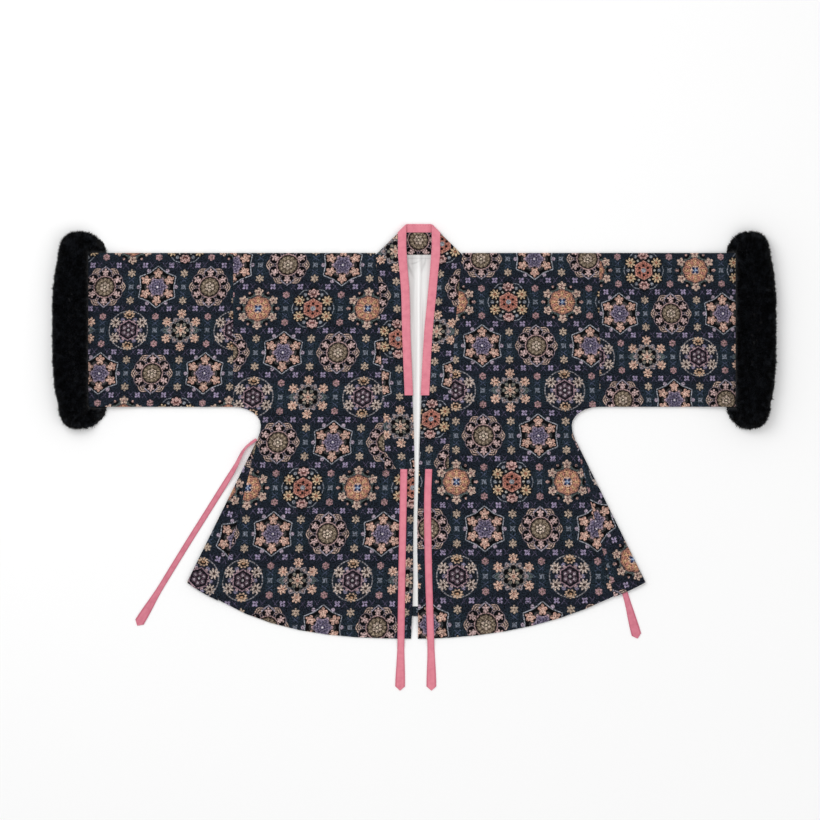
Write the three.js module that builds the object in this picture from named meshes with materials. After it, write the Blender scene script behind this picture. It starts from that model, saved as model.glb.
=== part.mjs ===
// Straight-collared hanfu jacket in brocade with black fur cuffs, laid open and flat, face up.
// Millimetres, +Z up. X runs along the sleeves, +Y points to the neck, and z = 0 is the surface it lies on.
// Left and right are those of the view from above, with the neck at the top.
// y = 0 is the fold along the shoulders. Sizes across are distances out from the centre line.
import * as THREE from 'three';

const { lerp, smoothstep, degToRad } = THREE.MathUtils;

// Cloth and how close it lies
const wall = 2.2; // brocade with interlining and lining
const bandWall = 1.6; // collar band, folded double
const thinWall = 1; // lining, binding and ribbon
const seamGap = 0.3;
const halfSeam = seamGap / 2;
const layerRoom = thinWall + 2 * seamGap; // between back and front, for lining and inside tie
const seamRoll = 6; // how far in from a seam the two walls bend together

// Cut of body and sleeves
const sleeveDepth = 300;
const sleeveSeamAt = 357;
const sleeveReach = 680; // hidden in the fur of the cuff
const chestHalf = 303;
const underarmRise = 36; // height of the rounded underarm
const frontLength = 752;
const backLength = 708;
const cornerHalf = 447;
const cornerDepth = 642;
const goreTopDepth = 362;
const goreTopHalf = 309;
const goreHemHalf = 387;
const goreHemDepth = 676;
const backFullness = 2; // exponent of the back hem's curve

// Collar
const bandWidth = 58;
const bandEndDepth = 421;
const neckDrop = 3.5; // back neck seam below the shoulder fold
const neckClear = 0.4; // more room where the collar turns over the corner of the back
const bindingWidth = 15;
const bindingEndDepth = 277.5;
const neckLift = 3; // how much higher the collar's free edge lies at the neck
const armLift = 1; // and further down, where it is bound
const neckRise = { start: -60, end: -5 }; // depths between which it rises to the neck
const boundRise = { start: -bindingEndDepth - 48, end: -bindingEndDepth - 8 }; // and to its binding

// Ribbons
const tieWidth = 13.5;
const tieTipWidth = 19;
const sideTieWidth = 11;
const gatheredRoot = 5; // width of a side tie where the side seam catches it
const ribbonGap = 0.6; // above the panel that a ribbon lies on

// Fur cuffs
const pileFront = 32;
const pileEnds = 43;
const pileBack = 30;
const furBed = 8; // pressed pile under the sleeve end
const riseStart = 520; // where the sleeve begins to rise onto it
const riseEnd = 640;

const sides = [
  { name: 'left', sign: -1, frontFullness: 2.7, furFront: 639, furBack: 603, furTip: 710 },
  { name: 'right', sign: 1, frontFullness: 2.1, furFront: 622, furBack: 604, furTip: 702 },
];

// The opening's free edges, as distances out from the centre line on each side.
const openingEdges = [
  { y: -frontLength, left: 10.3, right: 3.3 },
  { y: -650, left: 6.2, right: 3.3 },
  { y: -550, left: 6.2, right: 1.6 },
  { y: -bandEndDepth, left: 3.6, right: 5 },
  { y: -275, left: 8, right: 10.4 },
  { y: -150, left: 13, right: 17.2 },
  { y: -75, left: 14.6, right: 24.6 },
  { y: -35, left: 17.8, right: 28 },
  { y: -7.5, left: 21, right: 31.5 },
];

// Middle lines of the ribbons, with x on its own side of the centre line.
const frontTiePaths = {
  left: [
    { x: 24.3, y: -421.5 },
    { x: 28, y: -620 },
    { x: 30.4, y: -784 },
    { x: 31.8, y: -853 },
  ],
  right: [
    { x: 24.2, y: -421.5 },
    { x: 22, y: -482 },
    { x: 23.9, y: -620 },
    { x: 29, y: -790 },
    { x: 29.4, y: -853 },
  ],
};
const sideTiePaths = {
  left: [
    { x: 311.6, y: -363 },
    { x: 334, y: -381 },
    { x: 353, y: -417 },
    { x: 396.4, y: -487.5 },
    { x: 449.1, y: -571.4 },
    { x: 543.9, y: -726.4 },
  ],
  right: [
    { x: 304.5, y: -378 },
    { x: 350, y: -506 },
    { x: 407, y: -664 },
    { x: 421.6, y: -716 },
    { x: 431.3, y: -751.7 },
  ],
};

// Soft creases of the lining in the opening.
const liningCreases = [
  { x: 4, halfWidth: 9, height: 1.6, top: -22, bottom: -340 },
  { x: -9, halfWidth: 6, height: 1.1, top: -10, bottom: -150 },
  { x: 21, halfWidth: 6, height: 1.2, top: -8, bottom: -110 },
  { x: 0.5, halfWidth: 5, height: 1, top: -300, bottom: -640 },
];

function fabric(color, roughness) {
  return new THREE.MeshStandardMaterial({ color, roughness, metalness: 0 });
}

const garment = new THREE.Group();

// A closed body from corners and triangles, turned so that its faces point out.
function addPiece(name, corners, triangles, material) {
  let volume = 0;
  const normal = new THREE.Vector3();
  for (const [a, b, c] of triangles) {
    volume += corners[a].dot(normal.crossVectors(corners[b], corners[c]));
  }
  const facing = volume > 0 ? triangles : triangles.map(([a, b, c]) => [a, c, b]);
  const geometry = new THREE.BufferGeometry().setFromPoints(corners);
  geometry.setIndex(facing.flat());
  geometry.computeVertexNormals();
  const mesh = new THREE.Mesh(geometry, material);
  mesh.name = name;
  garment.add(mesh);
}

// A wall of cloth from a grid of its middle points, each with the way its outer face looks.
// isCloth tells which cells of the grid are cloth, so that a pattern piece can have a notch.
function addCloth(name, grid, thickness, material, isCloth = () => true) {
  const corners = [];
  const triangles = [];
  const numbers = new Map();
  const corner = (row, column, face) => {
    const key = `${row} ${column} ${face}`;
    if (!numbers.has(key)) {
      const { point, out } = grid[row][column];
      numbers.set(key, corners.push(point.clone().addScaledVector(out, face * thickness / 2)) - 1);
    }
    return numbers.get(key);
  };
  const quad = (a, b, c, d) => triangles.push([a, b, c], [a, c, d]);
  const edge = (r0, c0, r1, c1) => {
    quad(corner(r0, c0, 1), corner(r1, c1, 1), corner(r1, c1, -1), corner(r0, c0, -1));
  };
  const rows = grid.length - 1;
  const columns = grid[0].length - 1;
  const filled = (r, c) => r >= 0 && c >= 0 && r < rows && c < columns && isCloth(r, c);
  for (let r = 0; r < rows; r += 1) {
    for (let c = 0; c < columns; c += 1) {
      if (!filled(r, c)) continue;
      quad(corner(r, c, 1), corner(r + 1, c, 1), corner(r + 1, c + 1, 1), corner(r, c + 1, 1));
      quad(corner(r, c, -1), corner(r, c + 1, -1), corner(r + 1, c + 1, -1), corner(r + 1, c, -1));
      if (!filled(r - 1, c)) edge(r, c, r, c + 1);
      if (!filled(r + 1, c)) edge(r + 1, c + 1, r + 1, c);
      if (!filled(r, c - 1)) edge(r + 1, c, r, c);
      if (!filled(r, c + 1)) edge(r, c + 1, r + 1, c + 1);
    }
  }
  addPiece(name, corners, triangles, material);
}

// A body through equal rings of points: a closed loop of rings, or an open row with flat ends.
function addRings(name, rings, material, endOutline = null) {
  const corners = rings.flat();
  const size = rings[0].length;
  const triangles = [];
  const steps = endOutline ? rings.length - 1 : rings.length;
  for (let r = 0; r < steps; r += 1) {
    const next = (r + 1) % rings.length;
    for (let k = 0; k < size; k += 1) {
      const after = (k + 1) % size;
      const [a, b] = [r * size + k, r * size + after];
      const [c, d] = [next * size + after, next * size + k];
      triangles.push([a, b, c], [a, c, d]);
    }
  }
  if (endOutline) {
    const last = (rings.length - 1) * size;
    for (const [a, b, c] of THREE.ShapeUtils.triangulateShape(endOutline, [])) {
      const first = THREE.ShapeUtils.isClockWise(endOutline) ? [a, b, c] : [a, c, b];
      triangles.push(first, [...first].reverse().map((k) => last + k));
    }
  }
  addPiece(name, corners, triangles, material);
}

// Reads one column of a table as a smooth curve over another column.
function curveOf(table, from, to) {
  const sorted = [...table].sort((a, b) => a[from] - b[from]);
  const keys = sorted.map((row) => row[from]);
  const values = sorted.map((row) => row[to]);
  const curve = new THREE.CubicInterpolant(keys, values, 1, [0]);
  return (key) => curve.evaluate(THREE.MathUtils.clamp(key, keys[0], keys.at(-1)))[0];
}

// Even steps from start to end, with one more close to each end when a roll is given.
function stepsBetween(start, end, count, roll = 0) {
  const steps = Array.from({ length: count + 1 }, (_, k) => lerp(start, end, k / count));
  if (!roll) return steps;
  const inward = Math.sign(end - start) * roll;
  return [start, start + inward, ...steps.slice(1, -1), end - inward, end];
}

// Heights of the two layers, and how the shoulder fold joins them
const backMiddle = wall / 2;
const frontMiddle = wall + layerRoom + wall / 2;
const foldRadius = (frontMiddle - backMiddle) / 2;
const foldHeight = (frontMiddle + backMiddle) / 2;
const foldStart = -(foldRadius + wall / 2);
const frontUnderside = frontMiddle - wall / 2;
const rollDrop = foldHeight - seamGap / 2 - wall; // from a back wall's flat height to its seam

const frontHem = (x, fullness) => -frontLength + (frontLength - cornerDepth) * (x / cornerHalf) ** fullness;
const backHem = (x) => -backLength + (backLength - cornerDepth) * (x / cornerHalf) ** backFullness;

// The longer front sinks to the surface past the back's hem.
const frontSag = (x, y) => frontUnderside * smoothstep(backHem(x) - y, 2, frontLength - backLength);

// The sleeve end rises onto the pressed fur of its cuff.
const sleeveRise = (x) => furBed * smoothstep(x, riseStart, riseEnd);

// The side edge: a quarter ellipse under the arm, a short turn, and a straight flare to the corner.
const flare = 0.4928; // across for each unit down
const flareHalf = (y) => cornerHalf - flare * (y + cornerDepth);
const narrowestDepth = sleeveDepth + underarmRise;
const sideTurnEnd = narrowestDepth + 26;
function sideEdge(y) {
  if (y >= -sleeveDepth) return sleeveSeamAt - halfSeam;
  if (y >= -narrowestDepth) {
    const rise = (y + narrowestDepth) / underarmRise;
    return sleeveSeamAt - (sleeveSeamAt - chestHalf) * Math.sqrt(Math.max(0, 1 - rise * rise));
  }
  const turn = (-narrowestDepth - y) / (sideTurnEnd - narrowestDepth);
  return turn < 1 ? lerp(chestHalf, flareHalf(-sideTurnEnd), turn ** 2) : flareHalf(y);
}
const goreSlope = (goreHemHalf - goreTopHalf) / (goreHemDepth - goreTopDepth);
const goreSeam = (y) => goreTopHalf + goreSlope * (-goreTopDepth - y);
const bodyEdge = (y) => (y > -goreTopDepth ? sideEdge(y) : Math.min(sideEdge(y), goreSeam(y) - halfSeam));

// The collar is one straight strip, folded over at 45 degrees at both sides of the neck.
// across runs from its sewn edge (0) to its free edge.
const neckLane = (across) => -neckDrop + halfSeam + neckClear + across;
const freeEdgeRamp = (across) => smoothstep(across, 0, bandWidth - bindingWidth);
const collarBack = (across) => backMiddle + freeEdgeRamp(across);
function collarFront(across, y) {
  const bound = armLift * smoothstep(y, boundRise.start, boundRise.end);
  const neck = (neckLift - armLift) * smoothstep(y, neckRise.start, neckRise.end);
  return frontMiddle + freeEdgeRamp(across) * (bound + neck);
}
const collarFoldRadius = (across) => (collarFront(across, 0) - collarBack(across)) / 2;
const collarTurn = (across) => Math.SQRT2 * collarFoldRadius(across) * Math.PI / 2;
const armTop = (across) => neckLane(across) - collarTurn(across);

// Depths of the collar's stations on the front, evenly spaced from the band's end to its fold.
const armSteps = 12;
const boundStep = 4; // the first one above the end of the binding
const armDepth = (across, step) => lerp(-bandEndDepth + halfSeam, armTop(across), step / armSteps);

const brocade = () => fabric(0x2a3346, 0.72);

// Where the rows of a body half lie: level rows down to the band's end, then rows that turn into the hem.
// The level rows lie at the collar's stations, so that both edges of the collar seam run alike.
const levelRows = [
  -neckDrop - halfSeam,
  ...stepsBetween(armSteps, boundStep, armSteps - boundStep).map((step) => armDepth(0, step)),
  -sleeveDepth,
];
const underarmRows = [75, 60, 45, 30, 15, 0].map(
  (angle) => -narrowestDepth + underarmRise * Math.sin(degToRad(angle)),
);
const lowerRows = [-349, -goreTopDepth, -375, -398, -bandEndDepth - halfSeam];
const hemRows = [0.13, 0.3, 0.48, 0.66, 0.8, 0.87, 0.9, 0.93, 0.96, 0.985, 1];
const depthRows = [
  ...levelRows.map((y) => ({ y, toHem: 0 })),
  ...underarmRows.map((y) => ({ y, toHem: 0 })),
  ...lowerRows.map((y) => ({ y, toHem: 0 })),
  ...hemRows.map((toHem) => ({ y: lowerRows.at(-1), toHem })),
];
const foldAngles = [90, 60, 30, 0, -30, -60, -90].map(degToRad);

// A point of the flat front or back layer, with the way its outer face looks.
function layerPoint(side, x, y, isFront, seamPull = 0) {
  const pinch = rollDrop * seamPull;
  const height = isFront ? frontMiddle - pinch - frontSag(x, y) : backMiddle + pinch;
  const point = new THREE.Vector3(side.sign * x, y, height + sleeveRise(x));
  return { point, out: new THREE.Vector3(0, 0, isFront ? 1 : -1) };
}

// A point of the fold along the shoulder, at an angle from front (90 degrees) to back.
function foldPoint(side, x, angle) {
  const out = new THREE.Vector3(0, Math.cos(angle), Math.sin(angle));
  const middle = new THREE.Vector3(side.sign * x, foldStart, foldHeight + sleeveRise(x));
  return { point: middle.addScaledVector(out, foldRadius), out };
}

// Body half: front and back in one, with the inner part of the sleeve and a notch for the collar band.
function addBody(side) {
  const opening = curveOf(openingEdges, 'y', side.name);
  const turnRoom = (y) => (y > levelRows[1] ? neckClear : 0);
  const bandSeam = (y) => opening(y) + bandWidth + halfSeam + turnRoom(y);
  const neckHalf = bandSeam(0);
  const hemAt = (x, isFront) => (isFront ? frontHem(x, side.frontFullness) : backHem(x));
  const innerColumns = 2;
  const outerColumns = 6;
  const nearHem = -frontLength + 60; // where a column's place along the hem is read

  // One row of points, from the opening or centre back out to the side.
  const layerRow = (row, isFront) => {
    const edgeOf = isFront ? (y) => opening(y) : () => halfSeam;
    const splitOf = isFront ? (y) => bandSeam(Math.max(y, -bandEndDepth)) : () => neckHalf;
    const across = (y, column) => {
      const split = splitOf(y);
      if (column <= innerColumns) return lerp(edgeOf(y), split, column / innerColumns);
      const outer = column - innerColumns;
      if (outer === outerColumns + 1) return bodyEdge(y);
      if (outer === outerColumns) return bodyEdge(y) - seamRoll;
      return lerp(split, bodyEdge(y) - seamRoll, outer / outerColumns);
    };
    const points = [];
    for (let column = 0; column <= innerColumns + outerColumns + 1; column += 1) {
      const hemX = across(nearHem, column);
      const y = lerp(row.y, hemAt(hemX, isFront), row.toHem);
      const x = across(y, column);
      const atSeam = column > innerColumns + outerColumns && y < -sleeveDepth + 1 && y > -goreTopDepth - 1;
      points.push(layerPoint(side, x, y, isFront, atSeam ? 1 : 0));
    }
    return points;
  };
  const foldRow = (angle) => {
    const start = layerRow(depthRows[0], false);
    return start.map(({ point }) => foldPoint(side, Math.abs(point.x), angle));
  };
  const frontRows = depthRows.map((row) => layerRow(row, true)).reverse();
  const backRows = depthRows.map((row) => layerRow(row, false));
  const grid = [...frontRows, ...foldAngles.map(foldRow), ...backRows];
  const notchStart = hemRows.length;
  const notchEnd = frontRows.length + foldAngles.length;
  const inNotch = (r, c) => c < innerColumns && r >= notchStart && r < notchEnd;
  addCloth(`body_${side.name}`, grid, wall, brocade(), (r, c) => !inNotch(r, c));
}

// Side gore of the front or back, from the underarm to the hem.
function addGore(side, isFront) {
  const tipDepth = goreTopDepth + 5;
  const innerOf = (y) => goreSeam(y) + halfSeam;
  const hemAt = (x) => (isFront ? frontHem(x, side.frontFullness) : backHem(x));
  const rows = [0, 0.05, 0.14, 0.28, 0.44, 0.6, 0.76, 0.9, 0.98, 1];
  const grid = rows.map((part) => [0, 0.35, 0.7, 0.92, 1].map((share) => {
    const hemX = lerp(goreHemHalf, cornerHalf, share);
    const y = lerp(-tipDepth, hemAt(hemX), part);
    const x = lerp(innerOf(y), sideEdge(y), share);
    return layerPoint(side, x, y, isFront, share === 1 ? 1 : 0);
  }));
  const layer = isFront ? 'front' : 'back';
  addCloth(`gore_${layer}_${side.name}`, grid, wall, brocade());
}

// Sleeve extension: a rectangle folded at the top and closed under the arm.
function addSleeve(side) {
  const columns = [
    ...stepsBetween(sleeveSeamAt + halfSeam, riseStart, 2),
    ...stepsBetween(riseStart, riseEnd, 6).slice(1),
    sleeveReach,
  ];
  const lengthRows = [-neckDrop, -75, -150, -225, -sleeveDepth + seamRoll, -sleeveDepth];
  const flatRow = (y, isFront) => columns.map(
    (x) => layerPoint(side, x, y, isFront, y === -sleeveDepth ? 1 : 0),
  );
  const grid = [
    ...lengthRows.map((y) => flatRow(y, true)).reverse(),
    ...foldAngles.map((angle) => columns.map((x) => foldPoint(side, x, angle))),
    ...lengthRows.map((y) => flatRow(y, false)),
  ];
  addCloth(`sleeve_${side.name}`, grid, wall, brocade());
}

function collarLane(side) {
  const opening = curveOf(openingEdges, 'y', side.name);
  const laneAt = (across) => opening(0) + bandWidth - halfSeam - across;
  const foldLane = laneAt(0) + neckLane(0);
  const neckEnd = (across) => foldLane - collarTurn(across) - neckLane(across);

  const arm = (across, y) => {
    const x = laneAt(across) + opening(y) - opening(0);
    const point = new THREE.Vector3(side.sign * x, y, collarFront(across, y));
    return { point, out: new THREE.Vector3(0, 0, 1) };
  };
  const fold = (across, angle) => {
    const radius = collarFoldRadius(across);
    const along = radius * (angle + Math.PI / 2);
    const outward = radius * Math.cos(angle);
    const x = neckEnd(across) + (along + outward) / Math.SQRT2;
    const y = neckLane(across) + (outward - along) / Math.SQRT2;
    const z = collarBack(across) + radius + radius * Math.sin(angle);
    const flat = Math.cos(angle) / Math.SQRT2;
    const out = new THREE.Vector3(side.sign * flat, flat, Math.sin(angle));
    return { point: new THREE.Vector3(side.sign * x, y, z), out };
  };
  return { arm, fold, neckEnd };
}

// Stations along the collar from the left end, round the back neck, to the right end.
// The arms' depths are functions of how far across the strip a point lies.
function collarStations(armDepths) {
  const [left, right] = sides.map(collarLane);
  const armStations = (lane) => armDepths.map((depthAt) => (across) => lane.arm(across, depthAt(across)));
  const foldStations = (lane) => stepsBetween(90, -90, 8).map(
    (angle) => (across) => lane.fold(across, degToRad(angle)),
  );
  const neckStation = (part) => (across) => {
    const x = lerp(-left.neckEnd(across), right.neckEnd(across), part);
    const point = new THREE.Vector3(x, neckLane(across), collarBack(across));
    return { point, out: new THREE.Vector3(0, 0, -1) };
  };
  return [
    ...armStations(left), ...foldStations(left),
    ...[0.25, 0.5, 0.75].map(neckStation),
    ...foldStations(right).reverse(), ...armStations(right).reverse(),
  ];
}

function addCollarBand() {
  const widths = [0, 6, 20, 32, bandWidth - bindingWidth, bandWidth - 6, bandWidth];
  const depths = stepsBetween(0, armSteps - 1, armSteps - 1).map((step) => (across) => armDepth(across, step));
  const grid = collarStations(depths).map((station) => widths.map((across) => station(across)));
  addCloth('collar_band', grid, bandWall, brocade());
}

// Binding folded round the free edge: its section is a narrow U, across against height from the middle.
function addCollarBinding() {
  const inside = bandWall / 2 + seamGap;
  const outside = inside + thinWall;
  const start = bandWidth - bindingWidth;
  const crown = bandWidth + 1.5 * seamGap;
  const section = [
    [start, outside], [start + 4, outside], [crown - 1, outside],
    [crown + 0.7, outside - 0.8], [crown + thinWall, 0], [crown + 0.7, 0.8 - outside],
    [crown - 1, -outside], [start + 4, -outside], [start, -outside],
    [start, -inside], [crown, -inside], [crown, inside], [start, inside],
  ].map(([across, height]) => new THREE.Vector2(across, height));
  const boundSteps = stepsBetween(boundStep, armSteps - 1, armSteps - 1 - boundStep);
  const depths = [
    () => -bindingEndDepth,
    ...boundSteps.map((step) => (across) => armDepth(across, step)),
  ];
  const rings = collarStations(depths).map((station) => section.map((corner) => {
    const { point, out } = station(corner.x);
    return point.addScaledVector(out, corner.y);
  }));
  addRings('collar_binding', rings, fabric(0xe27f92, 0.6), section);
}

// White lining on the inside of the back, with the soft creases that the opening shows.
function addLining() {
  const height = wall + seamGap + thinWall / 2;
  const facingWidth = 19;
  const facingTop = -backLength + facingWidth;
  const depths = stepsBetween(-neckDrop - halfSeam - 0.1, facingTop + halfSeam, 26, 8);
  const widths = [-72, -40, -24, -18, -12, -6, 0, 6, 12, 18, 24, 34, 78];
  const creaseAt = (x, y) => liningCreases.reduce((sum, crease) => {
    const span = Math.max(0, 1 - ((x - crease.x) / crease.halfWidth) ** 2) ** 2;
    const length = crease.top - crease.bottom;
    const fade = Math.min(crease.top - y, y - crease.bottom) / (length * 0.3);
    return sum + crease.height * span * smoothstep(fade, 0, 1);
  }, 0);
  const [leftEdge, rightEdge] = sides.map((side) => curveOf(openingEdges, 'y', side.name));
  const inOpening = (x, y) => {
    const room = x < 0 ? leftEdge(y) + x : rightEdge(y) - x;
    return smoothstep(room, 2, 8);
  };
  const up = new THREE.Vector3(0, 0, 1);
  const grid = depths.map((y) => widths.map((x) => {
    const lift = creaseAt(x, y) * inOpening(x, y);
    return { point: new THREE.Vector3(x, y, height + lift), out: up };
  }));
  addCloth('back_lining', grid, thinWall, fabric(0xe6e6e6, 0.55));

  const facing = [facingTop - halfSeam, facingTop - 8, -backLength + 1].map((y) => (
    [widths[0], -24, 0, 24, widths.at(-1)].map((x) => ({ point: new THREE.Vector3(x, y, height), out: up }))
  ));
  addCloth('back_hem_facing', facing, thinWall, brocade());
}

// A ribbon along a path on one side, with a pointed end. heightAt gives its middle height,
// and rollAt its turn about its own length.
function addRibbon(name, side, path, widthAt, heightAt, rollAt, color) {
  const curve = new THREE.CatmullRomCurve3(path.map(({ x, y }) => new THREE.Vector3(side.sign * x, y, 0)));
  const length = curve.getLength();
  const point = 8; // length of the pointed end
  const beforePoint = 12; // length of the last whole step
  const runs = [...stepsBetween(0, length - point - beforePoint, 34), length - point, length - point / 2, length];
  const grid = runs.map((run) => {
    const share = run / length;
    const centre = curve.getPointAt(share);
    const along = curve.getTangentAt(share);
    const acrossFlat = new THREE.Vector3(-along.y, along.x, 0).normalize();
    const roll = rollAt(run);
    const taper = Math.min(1, 0.06 + (length - run) / point * 0.94);
    const half = widthAt(run, length) / 2 * taper;
    const across = acrossFlat.clone().multiplyScalar(Math.cos(roll)).setZ(Math.sin(roll));
    const out = acrossFlat.clone().multiplyScalar(-Math.sin(roll)).setZ(Math.cos(roll));
    const middle = centre.clone();
    const floor = half * Math.abs(Math.sin(roll)) + thinWall / 2 * Math.cos(roll);
    middle.z = Math.max(floor, heightAt(Math.abs(centre.x), centre.y, run) + half * Math.abs(Math.sin(roll)));
    return [-1, 0, 1].map((place) => ({ point: middle.clone().addScaledVector(across, place * half), out }));
  });
  addCloth(name, grid, thinWall, fabric(color, 0.6));
}

function addTies(side) {
  const widening = (root, width) => (run, length) => {
    const toTip = smoothstep(run, length - 90, length - 8);
    return lerp(lerp(root, width, smoothstep(run, 0, 50)), tieTipWidth, toTip);
  };
  // On the front panel, then down to the surface past the hem.
  const onFront = (x, y) => {
    const panelTop = frontMiddle + wall / 2 - frontSag(x, y);
    const fall = (wall + ribbonGap) * smoothstep(frontHem(x, side.frontFullness) - y, 2, 20);
    return panelTop + ribbonGap + thinWall / 2 - fall;
  };
  addRibbon(
    `front_tie_${side.name}`, side, frontTiePaths[side.name],
    widening(tieWidth, tieWidth), onFront, () => 0, 0xe27f92,
  );

  const isOutside = side.name === 'left';
  const seamHeight = foldHeight;
  const beside = (x, y, run) => lerp(seamHeight, thinWall / 2, smoothstep(run, 2, 30));
  const between = (x, y) => seamHeight - 0.1 - frontSag(x, y);
  const twist = (run) => degToRad(60) * smoothstep(run, 3, 24) * (1 - smoothstep(run, 34, 140));
  addRibbon(
    `side_tie_${side.name}`, side, sideTiePaths[side.name], widening(gatheredRoot, sideTieWidth),
    isOutside ? beside : between, isOutside ? twist : () => 0, 0xd4788c,
  );
}

// Fur cuff: a ring of pile round the sleeve end, pressed flat underneath.
// Each ring of points is a section across the fur, at one place round the flattened sleeve.
function addFurCuff(side) {
  const clear = foldRadius + wall / 2 + seamGap; // from the sleeve's middle height to the fur's inside
  const topCentre = foldStart;
  const bottomCentre = -sleeveDepth + clear / 2;
  const middleY = (topCentre + bottomCentre) / 2;
  const halfLength = (topCentre - bottomCentre) / 2;
  const spread = stepsBetween(0, 1, 7);
  const endTurn = stepsBetween(90, -90, 12).slice(1, -1);
  const places = [
    ...spread.map((part) => ({ y: lerp(bottomCentre, topCentre, part), angle: 90 })),
    ...endTurn.map((angle) => ({ y: topCentre, angle })),
    ...spread.map((part) => ({ y: lerp(topCentre, bottomCentre, part), angle: -90 })),
    ...endTurn.map((angle) => ({ y: bottomCentre, angle: angle - 180 })),
  ];
  const fullness = 2.4;
  const rings = places.map(({ y, angle }) => {
    const turn = degToRad(angle);
    const [outY, outZ] = [Math.cos(turn), Math.sin(turn)];
    const atEnd = smoothstep(Math.abs(y - middleY) / halfLength, 0.55, 1);
    const inner = lerp(side.furBack, side.furFront, smoothstep(outZ, -0.6, 0.9));
    const outer = side.furTip - 12 * atEnd;
    const pile = outZ > 0
      ? lerp(pileEnds, pileFront, outZ ** 2)
      : lerp(pileEnds, pileBack, outZ ** 2);
    const sectionPoint = (x, height) => {
      const lip = lerp(clear, thinWall, smoothstep(x, sleeveReach + 1, outer - 2));
      const reach = lip + height * pile;
      const z = sleeveRise(x) + foldHeight + outZ * reach;
      return new THREE.Vector3(side.sign * x, y + outY * reach, Math.max(0, z));
    };
    const arch = stepsBetween(180, 0, 9).map((degrees) => {
      const share = Math.cos(degToRad(degrees));
      const height = (1 - Math.min(1, Math.abs(share)) ** fullness) ** (1 / fullness);
      return sectionPoint(lerp(inner, outer, (share + 1) / 2), height);
    });
    const base = [sleeveReach + 1, lerp(inner, sleeveReach, 0.7), lerp(inner, sleeveReach, 0.35)]
      .map((x) => sectionPoint(x, 0));
    return [...arch, ...base];
  });
  addRings(`fur_cuff_${side.name}`, rings, fabric(0x0b0c0e, 0.9));
}

for (const side of sides) {
  addBody(side);
  addGore(side, true);
  addGore(side, false);
  addSleeve(side);
  addTies(side);
  addFurCuff(side);
}
addCollarBand();
addCollarBinding();
addLining();

// The origin is the middle of the bounding box, at the surface.
const bounds = new THREE.Box3().setFromObject(garment, true);
const middle = bounds.getCenter(new THREE.Vector3());
garment.position.set(-middle.x, -middle.y, -bounds.min.z);
garment.updateMatrixWorld(true);

export default garment;
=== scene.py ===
"""Straight-collared hanfu jacket with fur cuffs, laid open and flat, face up."""

import math

import bpy
import numpy as np
from mathutils.kdtree import KDTree
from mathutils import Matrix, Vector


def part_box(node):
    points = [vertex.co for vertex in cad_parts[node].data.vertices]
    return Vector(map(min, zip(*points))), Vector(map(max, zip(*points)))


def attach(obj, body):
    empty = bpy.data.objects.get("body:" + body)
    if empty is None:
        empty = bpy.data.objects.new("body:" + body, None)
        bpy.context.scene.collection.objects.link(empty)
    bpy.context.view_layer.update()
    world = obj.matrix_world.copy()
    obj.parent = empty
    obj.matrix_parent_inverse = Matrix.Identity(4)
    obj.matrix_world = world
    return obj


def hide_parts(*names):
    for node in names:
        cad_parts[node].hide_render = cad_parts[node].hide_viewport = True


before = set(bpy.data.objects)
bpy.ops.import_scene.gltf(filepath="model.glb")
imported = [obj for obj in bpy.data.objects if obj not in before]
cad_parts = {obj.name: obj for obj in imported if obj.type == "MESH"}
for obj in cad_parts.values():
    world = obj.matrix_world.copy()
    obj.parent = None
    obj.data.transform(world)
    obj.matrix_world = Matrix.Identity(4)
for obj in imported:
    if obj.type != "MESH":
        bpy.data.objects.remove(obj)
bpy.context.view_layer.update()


# Body halves: one length of brocade each, front and back in one, folded at the shoulder and joined
# at the centre back. Dark navy jacquard silk with rows of round flower medallions, interlined and lined,
# so it lies like soft felt.
CENTRE = (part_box("body_left")[1][0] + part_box("body_right")[0][0]) / 2
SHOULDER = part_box("body_left")[1][1]
PIXEL = 0.00195  # a pixel of the photograph, in metres, on the garment
CENTRE_PIXEL, SHOULDER_PIXEL = 416.3, 253.0
BACK_HEM, HEM_RISE, HALF_HEM = -0.708, 0.066, 0.447  # the back's hem at the middle, its rise, its half width
SLEEVE_SEAM, UNDERARM = 0.352, -0.3
BETWEEN_LAYERS = 0.003  # height at which the front lies on the back


def paint(code):
    """A colour as a dyer's card gives it, in the linear values that materials use."""
    parts = [int(code[k : k + 2], 16) / 255 for k in (1, 3, 5)]
    return [c / 12.92 if c <= 0.04045 else ((c + 0.055) / 1.055) ** 2.4 for c in parts] + [1]


def smooth_step(value, low, high):
    """From 0 at low to 1 at high, with soft ends."""
    share = np.clip((value - low) / (high - low), 0, 1)
    return share * share * (3 - 2 * share)


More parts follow.
